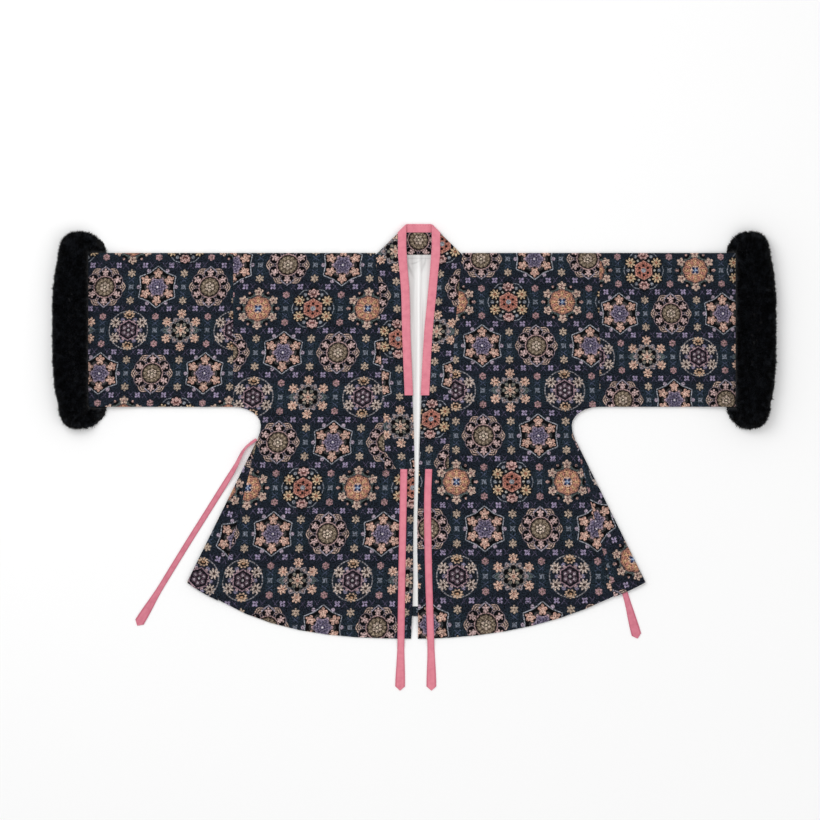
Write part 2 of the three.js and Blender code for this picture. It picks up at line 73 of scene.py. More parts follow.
def cut_piece(node, name, cuts=0, rim=0.0):
    """A copy of a node's solid with its corners joined, cut into finer cloth and its rims rounded."""
    bpy.ops.object.select_all(action="DESELECT")
    piece = bpy.data.objects.new(name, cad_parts[node].data.copy())
    bpy.context.scene.collection.objects.link(piece)
    piece.select_set(True)
    bpy.context.view_layer.objects.active = piece
    piece.data.materials.clear()
    while piece.data.uv_layers:
        piece.data.uv_layers.remove(piece.data.uv_layers[0])
    bpy.ops.object.mode_set(mode="EDIT")
    bpy.ops.mesh.select_all(action="SELECT")
    bpy.ops.mesh.remove_doubles(threshold=0.00002)
    bpy.ops.mesh.tris_convert_to_quads(face_threshold=math.radians(30), shape_threshold=math.radians(179))
    if cuts:
        bpy.ops.mesh.subdivide(number_cuts=cuts, smoothness=0)
    bpy.ops.object.mode_set(mode="OBJECT")
    if rim:
        bevel = piece.modifiers.new("rim", "BEVEL")
        bevel.width, bevel.segments, bevel.limit_method = rim, 2, "ANGLE"
        bevel.angle_limit = math.radians(50)
        bpy.ops.object.modifier_apply(modifier="rim")
    bpy.ops.mesh.customdata_custom_splitnormals_clear()
    bpy.ops.object.shade_smooth_by_angle(angle=math.radians(50))
    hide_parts(node)
    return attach(piece, "root")


def points_of(piece):
    """The piece's points, as distances from the centre line, from the shoulder and above the surface."""
    points = np.empty(len(piece.data.vertices) * 3)
    piece.data.vertices.foreach_get("co", points)
    return points.reshape(-1, 3) - (CENTRE, SHOULDER, 0)


def set_points(piece, points):
    piece.data.vertices.foreach_set("co", (points + (CENTRE, SHOULDER, 0)).ravel())
    piece.data.update()


def ripple(x, y, seed):
    """Slow swells of cloth that was smoothed by hand, from -1 to 1."""
    swell = np.zeros_like(x)
    for k, (length, turn) in enumerate(((0.31, 0.4), (0.19, 1.9), (0.13, 2.9), (0.087, 0.9))):
        along = x * math.cos(turn + seed) + y * math.sin(turn + seed)
        swell += np.sin(2 * math.pi * along / length + 1.7 * seed + k) * length
    return swell / 0.72


def back_hem(x):
    """Depth of the back's hem below the shoulder, as a negative distance."""
    return BACK_HEM + HEM_RISE * (np.abs(x) / HALF_HEM) ** 2


def sleeve_rise(x):
    """The sleeve end rises onto the pressed fur of its cuff."""
    return 0.008 * smooth_step(np.abs(x), 0.52, 0.64)


def is_front(x, y, z):
    """The front is the upper layer, and all that reaches below the back's shorter hem."""
    return (z > BETWEEN_LAYERS + sleeve_rise(x)) | (y < back_hem(x))


# Where the weave's medallions lie on each piece, in pixels of the photograph: one medallion's place,
# the way from one column and from one row to the next, how the columns lean, how both widen downwards,
# how the piece is turned, and which column and row the medallion is in.
WEAVES = {
    "body_left": dict(at=(288, 265), column=54.9, row=43.3, lean=-0.057, more_row=0.25),
    "body_right": dict(at=(481, 259), column=53.3, row=42.6, lean=0.0137, more_row=0.39, more_column=0.0098),
    "sleeve_left": dict(at=(105, 287), column=-52.4, row=-43.2, lean=-0.063),
    "sleeve_right": dict(at=(623, 400), column=51.5, row=43.2, lean=0.04),
    "gore_left": dict(at=(199, 578), column=54, row=46.5, turn=15, first=(-0.5, 3)),
    "gore_right": dict(at=(595, 521), column=-54, row=-46.5, turn=-15, first=(0, 2)),
    "band_left": dict(at=(398, 339), column=54, row=43.75, lean=0.03, first=(0.5, 1)),
    "band_right": dict(at=(431, 419), column=54, row=43.75, lean=-0.063, first=(0.5, 1)),
    "band_neck": dict(at=(418.5, 240), column=54, row=43.75, turn=90),
}


def weave_place(x, y, at, column, row, lean=0.0, more_row=0.0, more_column=0.0, turn=0.0, first=(0, 0)):
    """Counts columns and rows of medallions from places on the garment, in metres."""
    across = x / PIXEL + CENTRE_PIXEL - at[0]
    down = SHOULDER_PIXEL - y / PIXEL - at[1]
    angle = math.radians(turn)
    across, down = (
        across * math.cos(angle) + down * math.sin(angle),
        down * math.cos(angle) - across * math.sin(angle),
    )
    columns = (across - lean * down) / (column + more_column * down)
    if more_row:
        rows = (np.sqrt(np.maximum(row * row + 4 * more_row * down, 1)) - row) / (2 * more_row)
    else:
        rows = down / row
    return columns + first[0], rows + first[1]


def lay_weave(piece, zone_of):
    """Gives each face its place in the weave. zone_of tells which faces have which weave, and if under."""
    mesh = piece.data
    points = points_of(piece)
    corners = np.empty(len(mesh.loops), dtype=np.int64)
    mesh.loops.foreach_get("vertex_index", corners)
    centres = np.empty(len(mesh.polygons) * 3)
    mesh.polygons.foreach_get("center", centres)
    sizes = np.empty(len(mesh.polygons), dtype=np.int64)
    mesh.polygons.foreach_get("loop_total", sizes)
    centres = centres.reshape(-1, 3) - (CENTRE, SHOULDER, 0)
    places = np.zeros((len(corners), 2))
    for weave, under, faces in zone_of(*centres.T):
        here = np.repeat(faces, sizes)
        x, y = points[corners[here], 0], points[corners[here], 1]
        places[here] = np.stack(weave_place(x, -y if under else y, **WEAVES[weave]), axis=1)
    mesh.uv_layers.new(name="weave").data.foreach_set("uv", places.ravel())


class Thread:
    """One socket of a material's nodes. Python's operators on it add Math nodes."""

    def __init__(self, tree, socket):
        self.tree, self.socket = tree, socket

    def node(self, kind, settings=None, sockets=None, output=0):
        """Any node: first its settings, then the values or links of its sockets."""
        made = self.tree.nodes.new(kind)
        for name, setting in (settings or {}).items():
            setattr(made, name, setting)
        for socket, value in (sockets or {}).items():
            if isinstance(value, Thread):
                self.tree.links.new(value.socket, made.inputs[socket])
            else:
                made.inputs[socket].default_value = value
        return Thread(self.tree, made.outputs[output])

    def math(self, operation, *values, clamp=False):
        sockets = dict(enumerate((self, *values)))
        return self.node("ShaderNodeMath", {"operation": operation, "use_clamp": clamp}, sockets)

    def __add__(self, other):
        return self.math("ADD", other)

    __radd__ = __add__

    def __sub__(self, other):
        return self.math("SUBTRACT", other)

    def __rsub__(self, other):
        return (self * -1).math("ADD", other)

    def __mul__(self, other):
        return self.math("MULTIPLY", other)

    __rmul__ = __mul__

    def __truediv__(self, other):
        return self.math("DIVIDE", other)

    def __abs__(self):
        return self.math("ABSOLUTE")

    def within(self, limit, soft=0.7):
        """1 where the value is under the limit, 0 above it, with a soft edge."""
        return (self - limit).math("MULTIPLY_ADD", -1 / soft, 0.5, clamp=True)

    def cos(self, times=1):
        return (self * times).math("COSINE")

    def sin(self, times=1):
        return (self * times).math("SINE")

    def capped(self, times):
        """So many times the value, kept between 0 and 1."""
        return self.math("MULTIPLY", times, clamp=True)

    def far(self, other):
        """Distance from the origin of the place that this value and another give."""
        return (self * self + other * other).math("SQRT")

    def place(self):
        """The place on the piece, in metres."""
        return self.node("ShaderNodeTexCoord", output=3)

    def parts(self):
        """The x and the y of a place."""
        split = self.node("ShaderNodeSeparateXYZ", sockets={0: self})
        return split, Thread(self.tree, split.socket.node.outputs[1])

    def noise(self, scale, detail):
        """Uneven values round 0.5, one for each place."""
        return self.node("ShaderNodeTexNoise", sockets={"Vector": self, "Scale": scale, "Detail": detail})

    def bump(self, strength, distance):
        """This value as heights of the surface."""
        sockets = {"Strength": strength, "Distance": distance, "Height": self}
        return self.node("ShaderNodeBump", sockets=sockets)

    def painted(self, ground, *layers):
        """Colours laid over a ground, each where its mask says. Any value of the material can do it."""
        colour = ground
        for mask, over in layers:
            sockets = {0: mask, 6: colour, 7: over}
            colour = self.node("ShaderNodeMix", {"data_type": "RGBA"}, sockets, output=2)
        return colour


def new_material(name, **looks):
    """A material with its surface's constant values set, and a thread to build its nodes with."""
    material = bpy.data.materials.new(name)
    material.use_nodes = True
    surface = material.node_tree.nodes["Principled BSDF"]
    for socket, value in looks.items():
        surface.inputs[socket.replace("_", " ")].default_value = value
    return material, surface, Thread(material.node_tree, None)


def wire(surface, **threads):
    """Leads the values that vary into the surface's sockets."""
    for socket, thread in threads.items():
        thread.tree.links.new(thread.socket, surface.inputs[socket.replace("_", " ")])


def weave_brocade():
    """Jacquard silk: six kinds of medallion in staggered rows, with small flowers between them."""
    material, surface, start = new_material(
        "brocade", Specular_IOR_Level=0.07, Sheen_Weight=0.01, Sheen_Roughness=0.4
    )
    wide, high = 54, 44.6  # a column and a row of the weave, in the units of all the sizes below
    place = start.node("ShaderNodeUVMap", {"uv_map": "weave"})
    u, v = place.parts()

    # The nearest medallion: its row and column, and the place round its middle
    row = (v + 0.5).math("FLOOR")
    odd = row.math("FLOORED_MODULO", 2)
    shifted = u - odd * 0.5
    column = (shifted + 0.5).math("FLOOR")
    x = abs(shifted - column) * wide
    y = abs(v - row) * high
    alternate = column.math("FLOORED_MODULO", 2)
    swapped = (column + row * 0.5).math("FLOORED_MODULO", 2)
    third = (row - 3).math("FLOORED_MODULO", 4).within(0.5, 0.1)
    is_a = (1 - odd) * (1 - swapped)
    is_b = (1 - odd) * swapped
    is_c = third * alternate
    is_d = third * (1 - alternate)
    is_e = (odd - third) * alternate
    is_f = (odd - third) * (1 - alternate)

    # Round the middle: distance, angle from the upright, and the six petals' own axes
    d = x.far(y)
    angle = x.math("ARCTAN2", y)
    sixth = angle / (math.pi / 3)
    petal = sixth.math("ROUND")
    lean = abs(sixth - petal) * (math.pi / 3)
    upright = abs(petal - 3 * (petal / 3).math("ROUND")).within(0.5, 0.1)
    p, q = d * lean.cos(), d * lean.sin()
    half_gap = math.pi / 6 - lean
    p2, q2 = d * half_gap.cos(), d * half_gap.sin()
    six = lean.cos(6)
    eight = angle.cos(8)

    def petal_at(reach):
        return (p - reach).far(q)

    def between_at(reach):
        return (p2 - reach).far(q2)

    def bloom(reach, size, petals, notch, squash=1.0):
        """A small flower on each petal's axis, its petals parted by notches."""
        out = (p - reach) * squash
        lobe = abs(q.math("ARCTAN2", out).cos(petals / 2))
        return (out.far(q) - lobe * (notch * size)).within((1 - notch) * size)

    black, ground_navy = paint("#06080d"), paint("#1a2331")
    silver, rose = paint("#a2a4b0"), paint("#c79f9b")

    # Ground: dark navy, a little greener behind the diamonds
    gap = wide / 2 - x
    ground = start.painted(ground_navy, (gap.within(8, 6) * y.within(13, 6), paint("#1b2c39")))

    # Lobed rosette: khaki middle, six black petals with a rose palmette in each, leaf sprays between them
    sprays = ((p2 - 17.6) * 0.9).far(q2 * 0.62).within(3.2) * (0.5 + (p2 * 1.1 + q2 * 0.7).cos(2.4) * 0.5)
    pointed = abs(p * 0.72 + q * 0.66 - 15.2).within(0.4) * upright * p.math("GREATER_THAN", 15)
    rosette = start.painted(
        ground,
        (sprays, paint("#cba48f")),
        (((p - 14.4) * 1.12).far(q * 0.9).within(6.1, 0.5), paint("#8f7885")),
        (((p - 14.4) * 1.12).far(q * 0.9).within(5.5, 0.5), black),
        (bloom(15.2, 3.7, 5, 0.7), rose),
        (((p - 12.4) * 0.6).far(q).within(1.0), rose),
        (pointed, paint("#a098ac")),
        (abs(d - 10.9).within(0.5), paint("#b88c89")),
        (d.within(10.3), paint("#1f1b17")),
        ((d - angle.cos(12) * 0.5).within(9.0), paint("#6f5b45")),
        (abs(d - 7.0).within(1.1) * (0.5 + angle.cos(12) * 0.5), paint("#a08a6e")),
        (d.within(5.2), paint("#4d3d2c")),
        (petal_at(3.4).within(1.5), paint("#c0a58f")),
        (d.within(1.1), paint("#d8c3a4")),
    )

    # Six-pointed star: silver outline, black edge, six salmon palmettes round a purple flower
    rim = p * 0.781 + q * 0.625 - 16.9
    star = start.painted(
        ground,
        (between_at(19.2).within(1.9), paint("#a993a8")),
        (rim.within(0.3), silver),
        (rim.within(-0.5), black),
        (between_at(9.8).within(3.6), paint("#3d3b3a")),
        (bloom(13.8, 4.6, 5, 0.46, 0.85), paint("#c9937e")),
        (bloom(12.8, 2.4, 3, 0.3), paint("#d9a890")),
        (between_at(9.6).within(1.4), paint("#bd9198")),
        ((d + six * 0.9).within(8.6), paint("#8c7690")),
        ((d + six * 0.7).within(7.3), paint("#5b5272")),
        (abs(petal_at(5.0) - 2.0).within(0.35), paint("#95859f")),
        (between_at(4.6).within(0.9), paint("#37304f")),
        (petal_at(2.6).within(0.7), paint("#37304f")),
        (d.within(1.0), paint("#e0d3dc")),
    )

    # Dotted ring: four daisies, two gold palmettes, and a dark hexagon that holds a six-petalled flower
    ringed = start.painted(
        ground,
        (abs(d - 19.6).within(0.5) * (0.7 + angle.cos(40) * 0.3), paint("#9d979c")),
        (bloom(12.6, 3.4, 3, 0.5) * (1 - upright), paint("#2b2237")),
        (between_at(12.4).within(2.0), paint("#7c7391")),
        (between_at(10.4).within(1.5), paint("#b08c92")),
        (bloom(15.6, 5.6, 8, 0.66) * (1 - upright), paint("#c3aa9b")),
        (petal_at(15.6).within(1.5) * (1 - upright), paint("#3e2d2a")),
        (bloom(16.2, 5.9, 9, 0.38, 1.3) * upright, paint("#c89f7b")),
        (((p - 15.4) * 1.5).far(q).within(3.2) * upright, paint("#271b16")),
        (((p - 16.2) * 1.5).far(q).within(1.7) * upright, paint("#b98455")),
        (abs(p2 - 9.0).within(0.5), paint("#a57d8b")),
        (p2.within(8.3), paint("#17151f")),
        (abs(petal_at(4.9) - 2.1).within(0.3), paint("#6a4a5c")),
        (petal_at(4.9).within(1.3), paint("#a8949f")),
        (d.within(1.2), paint("#bdb1b6")),
    )

    # Wreath: salmon star on grey-green petals, six black petals, a scalloped ring and six outer flowers
    wreath = start.painted(
        ground,
        (abs(x * 0.62 + y - 12.8).within(0.35) * x.math("GREATER_THAN", 13), paint("#56657b")),
        ((abs(x - 14.6) * 0.9 + y).within(4.0), paint("#4f5c5c")),
        (abs(d - 11.4 - angle.cos(12) * 1.2).within(2.1), paint("#6f6a6c")),
        (abs(d - 12.9 - angle.cos(12) * 1.2).within(0.45), paint("#968b98")),
        (between_at(11.6).within(1.4), paint("#a98b88")),
        (petal_at(11.0).within(1.0), paint("#b39a92")),
        (petal_at(8.0).within(2.7), black),
        (between_at(6.6).within(1.6), paint("#7d7868")),
        ((d - six * 1.8).within(4.6), paint("#c9a48a")),
        (d.within(1.5), paint("#bf7c66")),
        (bloom(17.0, 4.9, 7, 0.5, 0.95), paint("#d6a68c")),
        (((p - 16.2) * 0.7).far(q).within(1.2), paint("#b77c63")),
    )

    # Sun: orange scalloped disc with a blue cross, dark leaves and six palmettes round it
    sun = start.painted(
        ground,
        (abs(d - 14.4).within(1.5) * q.math("GREATER_THAN", 2.2), paint("#4d5856")),
        (abs(d - 15.8).within(1.3) * q.math("GREATER_THAN", 5.4), black),
        (bloom(19.2, 2.2, 3, 0.5) * 0.5, paint("#c08f84")),
        (between_at(18.2).within(1.1), paint("#c08f84")),
        ((abs(x - 19.6) + y).within(1.8), paint("#b88a80")),
        (bloom(17.0, 4.6, 5, 0.45, 1.05), paint("#c7a28d")),
        (((p - 16.6) * 0.8).far(q).within(1.1), paint("#8d5f59")),
        ((d - eight * 0.6).within(12.6), paint("#9d6352")),
        ((d - eight * 0.6).within(11.0), paint("#c07c4c")),
        (abs(d - 8.1).within(2.0) * (0.5 + eight * 0.5), paint("#cf9a62")),
        (abs(d - 8.1).within(1.7) * (0.45 - eight * 0.45), paint("#bb6c5c")),
        (d.within(4.9), paint("#caa08b")),
        ((d - abs(angle.sin(2)) * 3.4).within(1.0), paint("#26305c")),
        ((d - abs(angle.cos(2)) * 2.0).within(0.5), paint("#8aa0c4")),
    )

    # Hexagon: coral with black dots, four yellow daisies, two rose palmettes and a thin six-sided outline
    hexagon = start.painted(
        ground,
        (abs(d + q2 * 0.17 - 20.7).within(0.35), paint("#8d929f")),
        (petal_at(15.4).within(6.4), paint("#10141c")),
        (between_at(11.4).within(2.3), black),
        (between_at(11.4).within(1.2), paint("#a8a39a")),
        (between_at(16.2).within(1.6), paint("#868a94")),
        (bloom(15.7, 5.3, 8, 0.6) * (1 - upright), paint("#c9a577")),
        (petal_at(15.7).within(1.6) * (1 - upright), paint("#a8643c")),
        (bloom(15.6, 5.9, 7, 0.3, 1.3) * upright, paint("#c6938c")),
        (((p - 15.0) * 1.5).far(q).within(2.7) * upright, paint("#6d3835")),
        (((p - 16.2) * 1.5).far(q).within(1.4) * upright, paint("#d2a095")),
        (p2.within(8.9), paint("#c98069")),
        (p2.within(7.8), paint("#b4634d")),
        (petal_at(5.0).within(1.4), paint("#150d11")),
        (d.within(2.5), paint("#8c8f97")),
    )

    # Between the medallions: cream or rose flowers above and below a diamond,
    # lilac flowers between the rows
    above = y - 14
    turn = gap.math("ARCTAN2", above)
    flower = gap.far(above)
    cross_x, cross_y = x - 13.6, high / 2 - y
    crossed = cross_x.far(cross_y) - abs(cross_x.math("ARCTAN2", cross_y).sin(2)) * 2.2
    chain = abs(abs(abs(cross_x) - 7) * 1.3 - abs(cross_y)).within(0.55) * abs(cross_y).within(3.4)
    chevron = abs(abs(y - 7.2) - gap * 0.8).within(0.5) * gap.within(3.0, 0.5)
    small = start.painted(
        ground,
        (chain, paint("#4c4462")),
        (chevron, paint("#3f4b68")),
        ((gap + y - gap.math("MINIMUM", y) * 1.2).within(2.0), paint("#6b7383")),
        ((flower - abs(turn.cos(3)) * 2.3).within(1.9) * (1 - odd), paint("#b39880")),
        ((flower - abs(turn.cos(3)) * 0.9).within(2.7) * odd, paint("#a8797e")),
        (flower.within(0.9), paint("#8a6a58")),
        (crossed.within(1.2), paint("#9886ab")),
        (cross_x.far(cross_y).within(0.8), paint("#5a4a6c")),
    )
    inside = d.within(21.6, 0.5)
    colour = start.painted(
        small,
        (is_a * inside, rosette),
        (is_b * inside, star),
        (is_c * inside, ringed),
        (is_d * inside, wreath),
        (is_e * inside, sun),
        (is_f * inside, hexagon),
    )

    # Floats of the patterned weft stand a little proud of the ground, and the ribs of the weave run
    # through both. Its many binding threads make every colour a fine mix of lighter and darker points.
    grey = start.node("ShaderNodeRGBToBW", sockets={0: colour})
    floats = grey.capped(5)
    ribs = u.cos(2 * math.pi * wide) * v.cos(2 * math.pi * high)
    threads = place.noise(38.0, 2.0)
    cloud = place.noise(2.5, 2.0)
    light = (threads - 0.5) * 4.2 + (cloud - 0.5) * 0.6 + 0.72
    faded = start.painted(colour, (0.3, grey))
    multiply = {"data_type": "RGBA", "blend_type": "MULTIPLY"}
    mixed = start.node("ShaderNodeMix", multiply, {0: 1.0, 6: faded, 7: light}, output=2)
    bump = (floats + ribs * 0.25 + threads * 0.4).bump(0.3, 0.0007)
    wire(surface, Base_Color=mixed, Roughness=0.8 - floats * 0.2, Normal=bump)
    return material


brocade = weave_brocade()


def front_and_back(weave):
    """One weave that runs over the fold, from the front to the back."""

    def zones(x, y, z):
        front = is_front(x, y, z)
        return (weave, False, front), (weave, True, ~front)

    return zones


def one_zone(weave, under):
    """One weave for a whole piece, face up or turned under."""
    return lambda x, y, z: ((weave, under, np.full(len(x), True)),)


def swell_front(piece, calm, seed):
    """Lifts the front in slow swells, where nothing lies on it and no seam holds it down."""
    points = points_of(piece)
    swell = 0.0009 * calm * ripple(points[:, 0], points[:, 1], seed)
    points[:, 2] += np.where(is_front(*points.T), swell, 0)
    set_points(piece, points)


for side, sign in (("left", -1), ("right", 1)):
    body = cut_piece(f"body_{side}", f"brocade_body_{side}", cuts=3, rim=0.0007)
    # No swell under the collar, nor at the top fold, the hem, the sleeve seam and the gore's slanting seam
    x, y, _ = points_of(body).T
    x = np.abs(x)
    gore_seam = 0.3 - (y + 0.36) * 0.25
    calm = smooth_step(x, 0.085, 0.14) * smooth_step(-y, 0.012, 0.06)
    calm *= smooth_step(y - back_hem(x), 0.02, 0.07) * smooth_step(np.abs(SLEEVE_SEAM - x), 0.004, 0.03)
    calm *= np.where(y > UNDERARM - 0.03, 1, smooth_step(gore_seam - x, 0.006, 0.04))
    swell_front(body, calm, 1.3 + sign)
    lay_weave(body, front_and_back(f"body_{side}"))
    body.data.materials.append(brocade)


# Side gores: slim triangles from the underarm to the hem, let in between front and back at each side.
# The same brocade, cut on the slant, so that its medallions lean outwards.
for side in ("left", "right"):
    for layer in ("front", "back"):
        node = f"gore_{layer}_{side}"
        gore = cut_piece(node, f"brocade_{node}", cuts=3, rim=0.0007)
        lay_weave(gore, one_zone(f"gore_{side}", layer == "back"))
        gore.data.materials.append(brocade)


# Sleeve extensions: rectangles beyond the straight sleeve seams, folded at the top and closed under the arm.
# The left one is cut from the cloth turned round, so its medallions run the other way.
for side, sign in (("left", -1), ("right", 1)):
    sleeve = cut_piece(f"sleeve_{side}", f"brocade_sleeve_{side}", cuts=3, rim=0.0007)
    # No swell at the sleeve seam, under the fur, at the top fold and at the underarm
    x, y, _ = points_of(sleeve).T
    x = np.abs(x)
    calm = smooth_step(x, 0.362, 0.39) * smooth_step(0.59 - x, 0, 0.05)
    calm *= smooth_step(-y, 0.012, 0.06) * smooth_step(y - UNDERARM, 0.008, 0.05)
    swell_front(sleeve, calm, 4.1 + sign)
    lay_weave(sleeve, front_and_back(f"sleeve_{side}"))
    sleeve.data.materials.append(brocade)


# Collar band: one straight double strip of the brocade, sewn to the opening and folded over at both
# sides of the neck. Its lower ends stop at the ties, above the open hem.
band = cut_piece("collar_band", "brocade_collar_band", cuts=3, rim=0.0005)


def band_zones(x, y, z):
    """Both arms lie above the run behind the neck."""
    arm = z > 0.0036
    left, right = arm & (x < 0), arm & (x >= 0)
    return ("band_left", False, left), ("band_right", False, right), ("band_neck", False, ~arm)


lay_weave(band, band_zones)
band.data.materials.append(brocade)


# Binding and ribbon ties: pink satin-faced cotton, cut in straight strips.
# The binding is folded round the collar's free edge and stitched along both its edges.
def dye_ribbon(name, colour, shade):
    """Fine ribbed ribbon with a soft sheen, a little worn and uneven in its dye, with painted shade along
    both selvedges.
    """
    material, surface, start = new_material(
        name, Specular_IOR_Level=0.35, Sheen_Weight=0.2, Sheen_Roughness=0.4
    )
    place = start.place()
    x, y = place.parts()
    cloud = place.noise(90.0, 6.0)
    ribs = x.cos(2 * math.pi / 0.0011) * y.cos(2 * math.pi / 0.0009)
    selvedge = abs(start.node("ShaderNodeAttribute", {"attribute_name": "across"}, output=2))
    # Painted shade: each ribbon darkens towards both selvedges. The random patches are wear and uneven dye.
    worn, painted_edge_shade = (cloud - 0.4).capped(1.8), (selvedge - 0.55).capped(3.5) * 0.85
    tint = start.painted(colour, (worn, shade), (painted_edge_shade, shade))
    bump = (ribs * 0.3 + cloud).bump(0.25, 0.0004)
    wire(surface, Base_Color=tint, Roughness=0.5 + cloud * 0.2, Normal=bump)
    return material


pink_ribbon = dye_ribbon("pink_ribbon", paint("#dc8291"), paint("#c4677a"))
binding = cut_piece("collar_binding", "pink_collar_binding", cuts=1, rim=0.0003)
# The binding gets no painted edge shade, because its across attribute stays at zero.
binding.data.attributes.new("across", "FLOAT", "POINT")  # left at zero: both its selvedges are turned in
binding.data.materials.append(pink_ribbon)

# One stitch: a short waxed thread that goes down into the cloth at both its ends
STITCH_LENGTH, THREAD_RADIUS = 0.0022, 0.00028
bpy.ops.object.select_all(action="DESELECT")
bpy.ops.mesh.primitive_cylinder_add(
    vertices=6,
    radius=THREAD_RADIUS,
    depth=STITCH_LENGTH,
    end_fill_type="NOTHING",
    rotation=(0, math.pi / 2, 0),
)
stitch = bpy.context.object
bpy.ops.object.transform_apply(rotation=True)
bpy.ops.object.mode_set(mode="EDIT")
bpy.ops.mesh.select_all(action="SELECT")
bpy.ops.mesh.subdivide(number_cuts=1, quadcorner="STRAIGHT_CUT")
bpy.ops.object.mode_set(mode="OBJECT")
for point in stitch.data.vertices:
    point.co.z -= (abs(point.co.x) / (STITCH_LENGTH / 2)) ** 2 * THREAD_RADIUS * 2
stitch_points = np.array([point.co for point in stitch.data.vertices])
stitch_faces = [np.array(face.vertices) for face in stitch.data.polygons]
bpy.data.objects.remove(stitch)


def sewing_thread(name, colour, shade):
    """Twisted silk thread: painted shade in dark turns that run round it, with the same turns as bumps."""
    material, surface, start = new_material(name, Specular_IOR_Level=0.4)
    x, y = start.place().parts()
    twist = (x + y).cos(2 * math.pi / 0.0006) * 0.5 + 0.5
    # Painted shade: the twist's turns are painted darker
    tint = start.painted(colour, (twist * 0.6, shade))
    wire(surface, Base_Color=tint, Roughness=0.6 + twist * 0.1, Normal=twist.bump(0.5, 0.0002))
    return material


def look_down(cloth, x, depth):
    """What a straight look down meets on a piece, at a place from the centre line and the shoulder."""
    return cloth.ray_cast((x + CENTRE, depth + SHOULDER, 0.2), (0, 0, -1))


def sew(name, places, cloth, material):
    """Stitches at the given places, each with its direction, laid on the cloth's flat upper side."""
    corners, faces = [], []
    for x, y, turn in places:
        hit, spot, normal, _ = look_down(cloth, x, y)
        if not hit or normal[2] < 0.5:
            continue
        along = np.cross(np.cross(normal, (math.cos(turn), math.sin(turn), 0)), normal)
        along /= np.linalg.norm(along)
        axes = np.stack([along, np.cross(normal, along), np.array(normal)])
        faces += [(face + len(corners) * len(stitch_points)).tolist() for face in stitch_faces]
        corners.append(stitch_points @ axes + np.array(spot) + np.array(normal) * THREAD_RADIUS * 0.7)
    row = bpy.data.objects.new(name, bpy.data.meshes.new(name))
    row.data.from_pydata(np.concatenate(corners).tolist(), [], faces)
    bpy.context.scene.collection.objects.link(row)
    row.data.materials.append(material)
    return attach(row, "root")


def edges_of(cloth, depth, reach=0.05, step=0.0004):
    """Where a piece begins and ends across the garment at a depth, one pair for each stretch of it."""
    found = [x for x in np.arange(-reach, reach, step) if look_down(cloth, x, depth)[0]]
    parts = np.split(found, np.where(np.diff(found) > 2 * step)[0] + 1) if found else []
    return [(part[0], part[-1]) for part in parts]


pink_thread = sewing_thread("pink_thread", paint("#c4637a"), paint("#a94f66"))
PITCH, INSET = 0.0052, 0.0013  # from stitch to stitch, and from the edge to a stitch
places = []
for depth in np.arange(-0.274, 0.028, PITCH):
    for low, high in edges_of(binding, depth):
        if high - low < 0.022:  # where it runs down an arm, and not across the neck
            places += [(low + INSET, depth, math.pi / 2), (high - INSET, depth, math.pi / 2)]
for x in np.arange(-0.018, 0.036, PITCH):
    places += [(x, 0.0535, 0.0), (x, 0.0423, 0.0)]
sew("sewing_binding", places, binding, pink_thread)


# Lining: smooth white silk on the inside of the back, seen in the opening, with soft creases from
# its hanging, their shade painted grey into its colour. The facing is a strip of the brocade along the
# inside of the back's hem.
LINING_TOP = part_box("back_lining")[1][1]
lining_white, surface, start = new_material("white_lining", Specular_IOR_Level=0.3, Sheen_Weight=0.05)
place = start.place()
x, y = place.parts()
aside, below = (x - CENTRE) * 1000, (LINING_TOP - y) * 1000  # millimetres from centre line and neck seam
cloud = place.noise(60.0, 4.0)
streaks = start.node("ShaderNodeCombineXYZ", sockets={0: aside * 0.16, 1: below * 0.008}).noise(1.0, 3.0)
# Painted shade of soft folds, in grey: a broad one left of the middle, a slanting one from the left corner,
# one from the right corner, a fine crease right of the middle, and a curved one just under the neck seam
broad = abs(aside + 10 - below * 0.02).within(3.5, 8) * below.within(300, 200)
slant = abs(aside + 19 - (below - 12) * 0.4).within(0.8, 7) * abs(below - 26).within(12, 20)
corner = abs(aside - 19 + (below - 6) * 0.3).within(0.6, 6) * abs(below - 20).within(10, 16)
fine = abs(aside - 12.2 + (below - 140) * 0.02).within(0.3, 2.4) * abs(below - 140).within(50, 40)
loop = abs(below - 15 + aside * 0.4 + aside * aside * 0.016).within(0.6, 4) * abs(aside + 1).within(9, 9)
# Painted shade in a thin line just under the neck seam
under_seam = abs(below - 7).within(0.4, 2)
# Painted shadow of the collar over the top of the lining, fading downwards
high = below.within(16, 42)
# Together these masks give where the painted fold shade falls. The folds are also bumps.
folds = high * 0.3 + broad * 0.34 + slant * 0.75 + corner * 0.55 + fine * 0.5 + loop * 0.5 + under_seam * 0.3
# A painted highlight along a ridge right of the middle, weaker near the top. The ridge is also a bump.
ridge = abs(aside - 5 + below * 0.004).within(2.4, 5) * (1 - below.within(14, 20) * 0.6)
# Painted shade in long soft streaks, and painted fold shade that is weaker along the ridge
painted_streak_shade = ((streaks - 0.4) * 3).capped(0.7)
painted_fold_shade = (folds * (0.5 + streaks)).math("MINIMUM", 1) * (1 - ridge * 0.8)
wire(
    surface,
    Base_Color=start.painted(
        paint("#e4e3e2"),
        (painted_streak_shade, paint("#cbcac9")),
        (ridge, paint("#f4f4f3")),
        (painted_fold_shade, paint("#8f8d8c")),
    ),
    Roughness=0.45 + cloud * 0.2,
    Normal=(streaks * 1.5 + cloud * 0.3 - folds * 0.8 + ridge).bump(0.5, 0.0015),
)
lining = cut_piece("back_lining", "white_back_lining", cuts=3, rim=0.0003)
